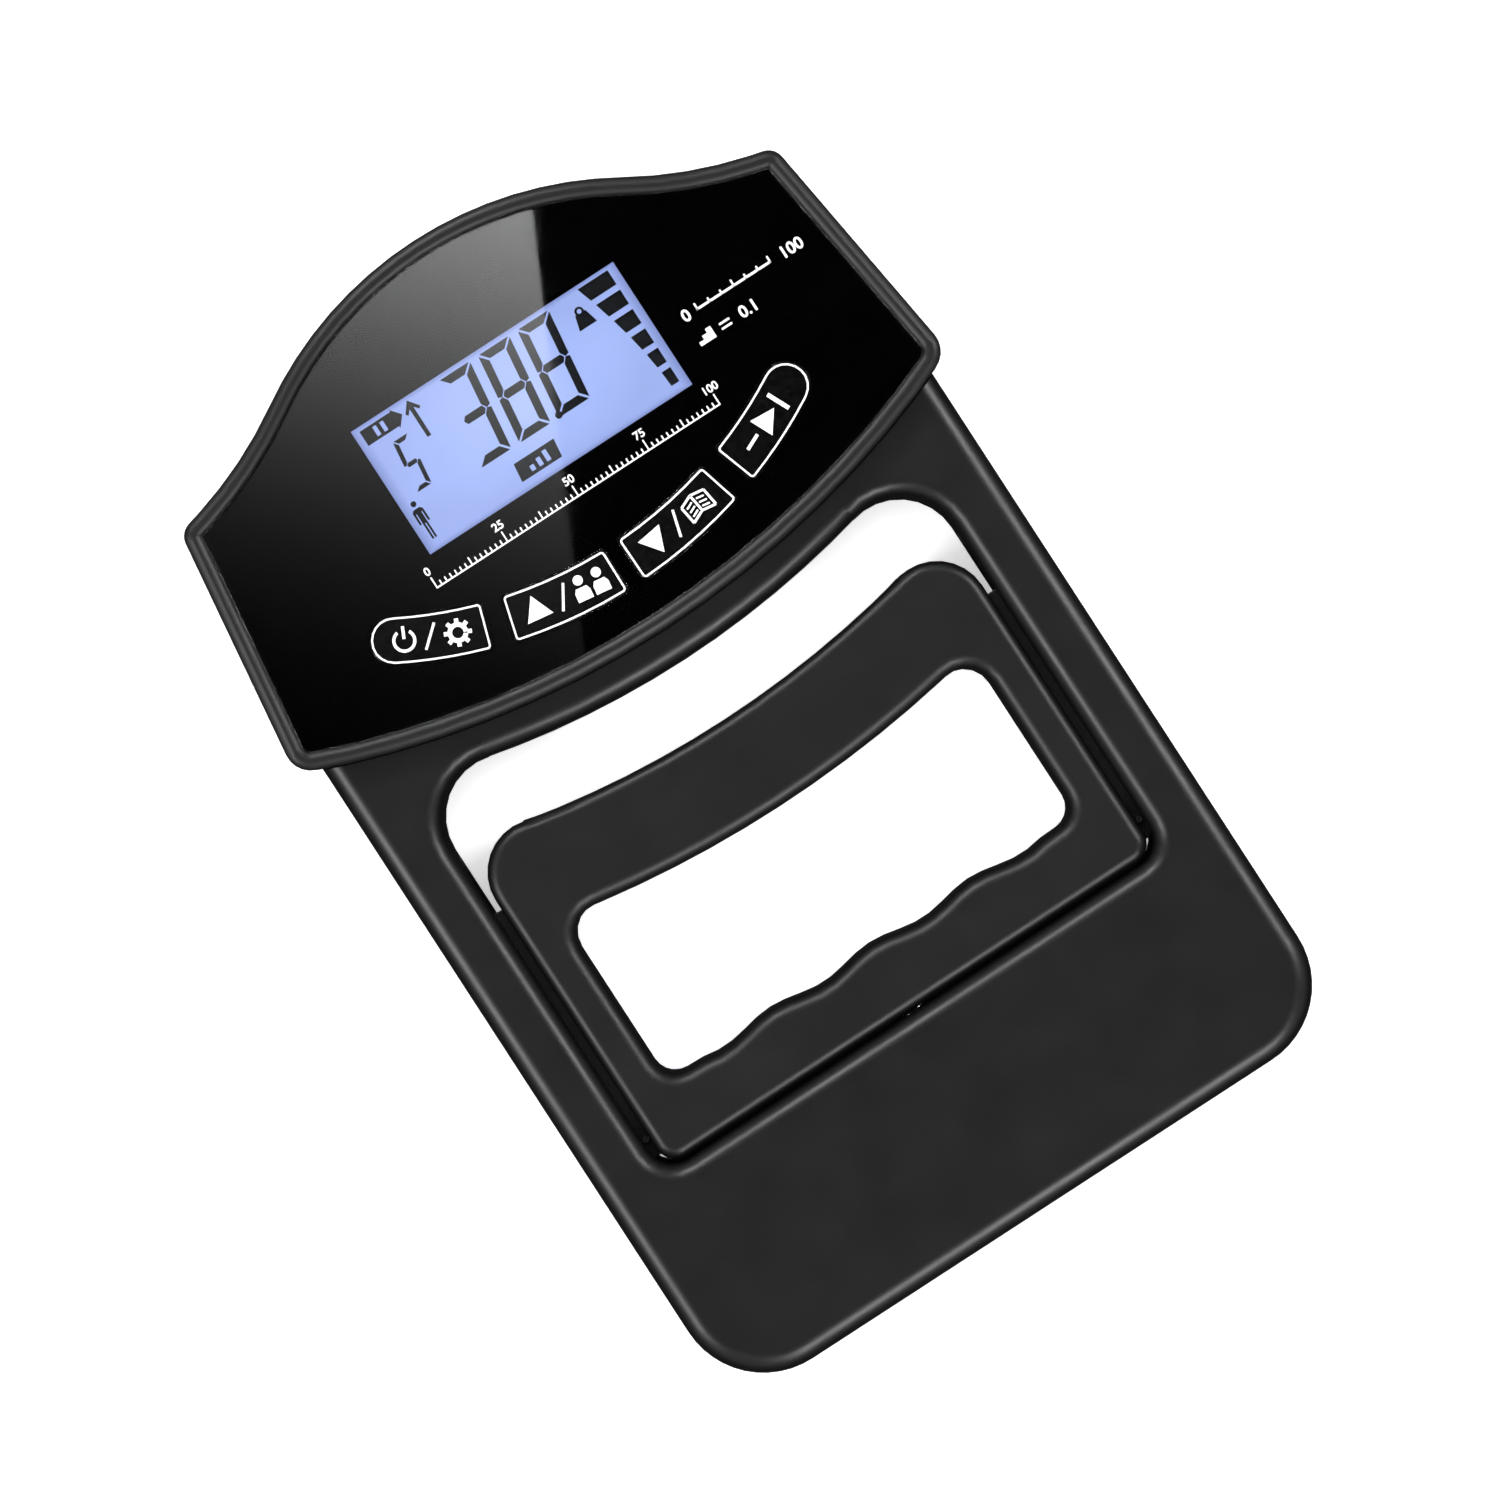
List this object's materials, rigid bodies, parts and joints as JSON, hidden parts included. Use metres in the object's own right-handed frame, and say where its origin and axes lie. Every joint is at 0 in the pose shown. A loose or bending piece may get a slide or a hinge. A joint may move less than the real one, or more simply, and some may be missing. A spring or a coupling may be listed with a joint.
{
  "type": "hand dynamometer",
  "caption": "Electronic hand dynamometer: a flat black frame with a display head and a sprung inner grip whose span is set by an adjusting wheel.",
  "frame": {"origin": "centre of the bounding box seen from above, at the level of the rubber feet's undersides", "axes": "the instrument lies on its back: +Z out of its face, +Y along the stroke towards the display head, +X to the right as its display is read"},
  "size_m": [0.1286, 0.1924, 0.0295],
  "materials": {
    "case_plastic": "fine satin, near black",
    "bezel_plastic": "satin, near black",
    "grip_plastic": "fine satin, near black",
    "mask_black": "black print",
    "panel_clear": "clear, glossy",
    "lcd_glass": "lit pale blue",
    "lcd_black": "display segment",
    "light_white": "white light guide",
    "strip_rubber": "conductive rubber",
    "board_green": "solder mask",
    "component_black": "moulded chips",
    "switch_grey": "switch body",
    "key_black": "glossy",
    "cell_jacket": "printed sleeve",
    "contact_steel": "nickel plated",
    "alloy": "machined",
    "gauge_foil": "foil on film",
    "lead_rubber": "flat ribbon",
    "screw_steel": "zinc plated",
    "rod_steel": "rolled thread",
    "foot_rubber": "matt",
    "bushing_brass": "machined",
    "guide_plastic": "waxy",
    "plate_foil": "blank, brushed",
    "wheel_plastic": "knurled"
  },
  "bodies": {
    "frame": {"rear_shell": "case_plastic", "front_shell": "case_plastic", "head_bezel": "bezel_plastic", "panel_mask": "mask_black", "display_panel": "panel_clear", "lcd_glass": "lcd_glass", "lcd_segments": "lcd_black", "lcd_backlight": "light_white", "contact_strips": "strip_rubber", "main_board": "board_green", "board_parts": "component_black", "key_switches": "switch_grey", "battery_1": "cell_jacket", "battery_2": "cell_jacket", "battery_springs": "contact_steel", "battery_plates": "contact_steel", "load_cell": "alloy", "strain_gauges": "gauge_foil", "cell_screws": "screw_steel", "sensor_lead": "lead_rubber", "case_screws": "screw_steel", "board_screws": "screw_steel", "rubber_feet": "foot_rubber", "screw_bushing": "bushing_brass", "rail_guide_left": "guide_plastic", "rail_guide_right": "guide_plastic", "rating_plate": "plate_foil"},
    "load_carrier": {"thrust_washer": "contact_steel", "wheel_cage": "alloy", "cage_screws": "screw_steel"},
    "wheel": {"thumbwheel": "wheel_plastic", "wheel_nut": "bushing_brass"},
    "grip": {"grip_front": "grip_plastic", "grip_rear": "grip_plastic", "anchor_block": "alloy", "lead_screw": "rod_steel", "lock_nut": "screw_steel", "stop_ring": "screw_steel", "grip_screws": "screw_steel", "shoe_left": "guide_plastic", "shoe_right": "guide_plastic", "shoe_dowels": "contact_steel"},
    "battery_door": {"battery_door": "case_plastic"},
    "key_left_outer": {"key_left_outer": "key_black"},
    "key_left_inner": {"key_left_inner": "key_black"},
    "key_right_inner": {"key_right_inner": "key_black"},
    "key_right_outer": {"key_right_outer": "key_black"}
  },
  "joints": [
    {"name": "squeeze", "type": "slide", "parent": "frame", "child": "load_carrier", "axis": [0, -1, 0], "range_m": [0, 0.0005], "stiffness_N_per_m": 2000, "deforming": ["load_cell"]},
    {"name": "wheel_turn", "type": "hinge", "parent": "load_carrier", "child": "wheel", "pos_m": [0, -0.0653, 0.012], "axis": [0, 1, 0], "range_deg": [0, 1980]},
    {"name": "grip_adjust", "type": "slide", "parent": "load_carrier", "child": "grip", "axis": [0, 1, 0], "range_m": [0, 0.011]},
    {"name": "battery_door_hinge", "type": "hinge", "parent": "frame", "child": "battery_door", "pos_m": [0, 0.0674, 0.0026], "axis": [1, 0, 0], "range_deg": [0, 78]},
    {"name": "key_left_outer_press", "type": "slide", "parent": "frame", "child": "key_left_outer", "axis": [0, 0, -1], "range_m": [0, 0.0006], "stiffness_N_per_m": 500},
    {"name": "key_left_inner_press", "type": "slide", "parent": "frame", "child": "key_left_inner", "axis": [0, 0, -1], "range_m": [0, 0.0006], "stiffness_N_per_m": 500},
    {"name": "key_right_inner_press", "type": "slide", "parent": "frame", "child": "key_right_inner", "axis": [0, 0, -1], "range_m": [0, 0.0006], "stiffness_N_per_m": 500},
    {"name": "key_right_outer_press", "type": "slide", "parent": "frame", "child": "key_right_outer", "axis": [0, 0, -1], "range_m": [0, 0.0006], "stiffness_N_per_m": 500}
  ],
  "couplings": [
    {"joint": "wheel_turn", "follows": "grip_adjust", "rad_per_m": 3141.6}
  ]
}
